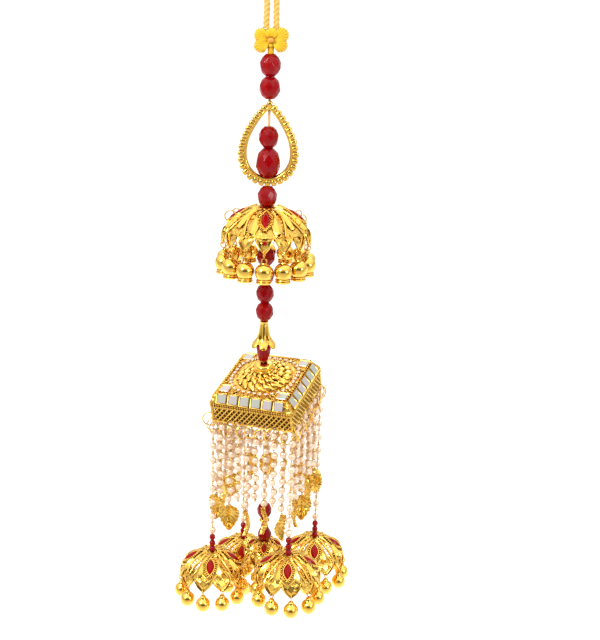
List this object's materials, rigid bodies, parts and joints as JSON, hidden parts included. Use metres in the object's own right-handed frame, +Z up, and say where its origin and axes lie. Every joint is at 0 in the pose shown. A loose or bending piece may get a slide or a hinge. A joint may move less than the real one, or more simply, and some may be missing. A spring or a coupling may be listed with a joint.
{
  "type": "kalire bridal ornament",
  "caption": "Hanging bridal wrist ornament: a looped cord strings ruby beads, a teardrop ring and a belled dome over a square canopy with pearl strands and small domes.",
  "frame": {"origin": "inside top of the cord's loop, where the ornament hangs", "axes": "+Z up along the string, viewer at -Y, +X to the viewer's right"},
  "size_m": [0.0952, 0.0949, 0.3585],
  "materials": {
    "gold": "gold plated, satin with bright edges",
    "polished_gold": "gold plated, mirror bright",
    "gold_leaf": "gold plated stamped sheet",
    "ruby_glass": "clear faceted ruby-red glass",
    "ruby_stone": "foiled ruby-red glass",
    "pearl": "peach imitation pearl",
    "mirror_glass": "small mirror glass",
    "silk_cord": "yellow silky thread",
    "thread": "fine thread"
  },
  "bodies": {
    "root": {"hanging_cord": "silk_cord", "bow_knot": "silk_cord", "string_thread": "thread", "bead_1": "ruby_glass", "bead_2": "ruby_glass", "teardrop_ring": "gold", "bead_3": "ruby_glass", "bead_4": "ruby_glass", "bead_5": "ruby_glass", "upper_dome": "gold", "upper_stones": "ruby_stone", "upper_bells": "polished_gold", "bead_6": "ruby_glass", "bead_7": "ruby_glass", "bead_8": "ruby_glass", "bead_9": "ruby_glass", "bead_10": "ruby_glass", "bead_11": "ruby_glass", "tulip_cap": "gold", "cone_bead": "ruby_glass", "collar": "gold", "canopy": "gold", "canopy_mirrors": "mirror_glass", "fringe_front": "pearl", "fringe_right": "pearl", "fringe_back": "pearl", "fringe_left": "pearl", "leaves_front": "gold_leaf", "leaves_right": "gold_leaf", "leaves_back": "gold_leaf", "leaves_left": "gold_leaf", "corner_pearls_1": "pearl", "corner_pearls_2": "pearl", "corner_pearls_3": "pearl", "corner_pearls_4": "pearl", "corner_threads": "thread", "corner_ruby_1": "ruby_glass", "corner_ruby_2": "ruby_glass", "corner_ruby_3": "ruby_glass", "corner_ruby_4": "ruby_glass", "lower_dome_1": "gold", "lower_dome_2": "gold", "lower_dome_3": "gold", "lower_dome_4": "gold", "lower_dome_5": "gold", "lower_stones_1": "ruby_stone", "lower_stones_2": "ruby_stone", "lower_stones_3": "ruby_stone", "lower_stones_4": "ruby_stone", "lower_stones_5": "ruby_stone", "lower_balls_1": "polished_gold", "lower_balls_2": "polished_gold", "lower_balls_3": "polished_gold", "lower_balls_4": "polished_gold", "lower_balls_5": "polished_gold", "centre_bead": "ruby_glass", "centre_spacer": "gold", "pear_bead": "ruby_glass"}
  },
  "joints": []
}
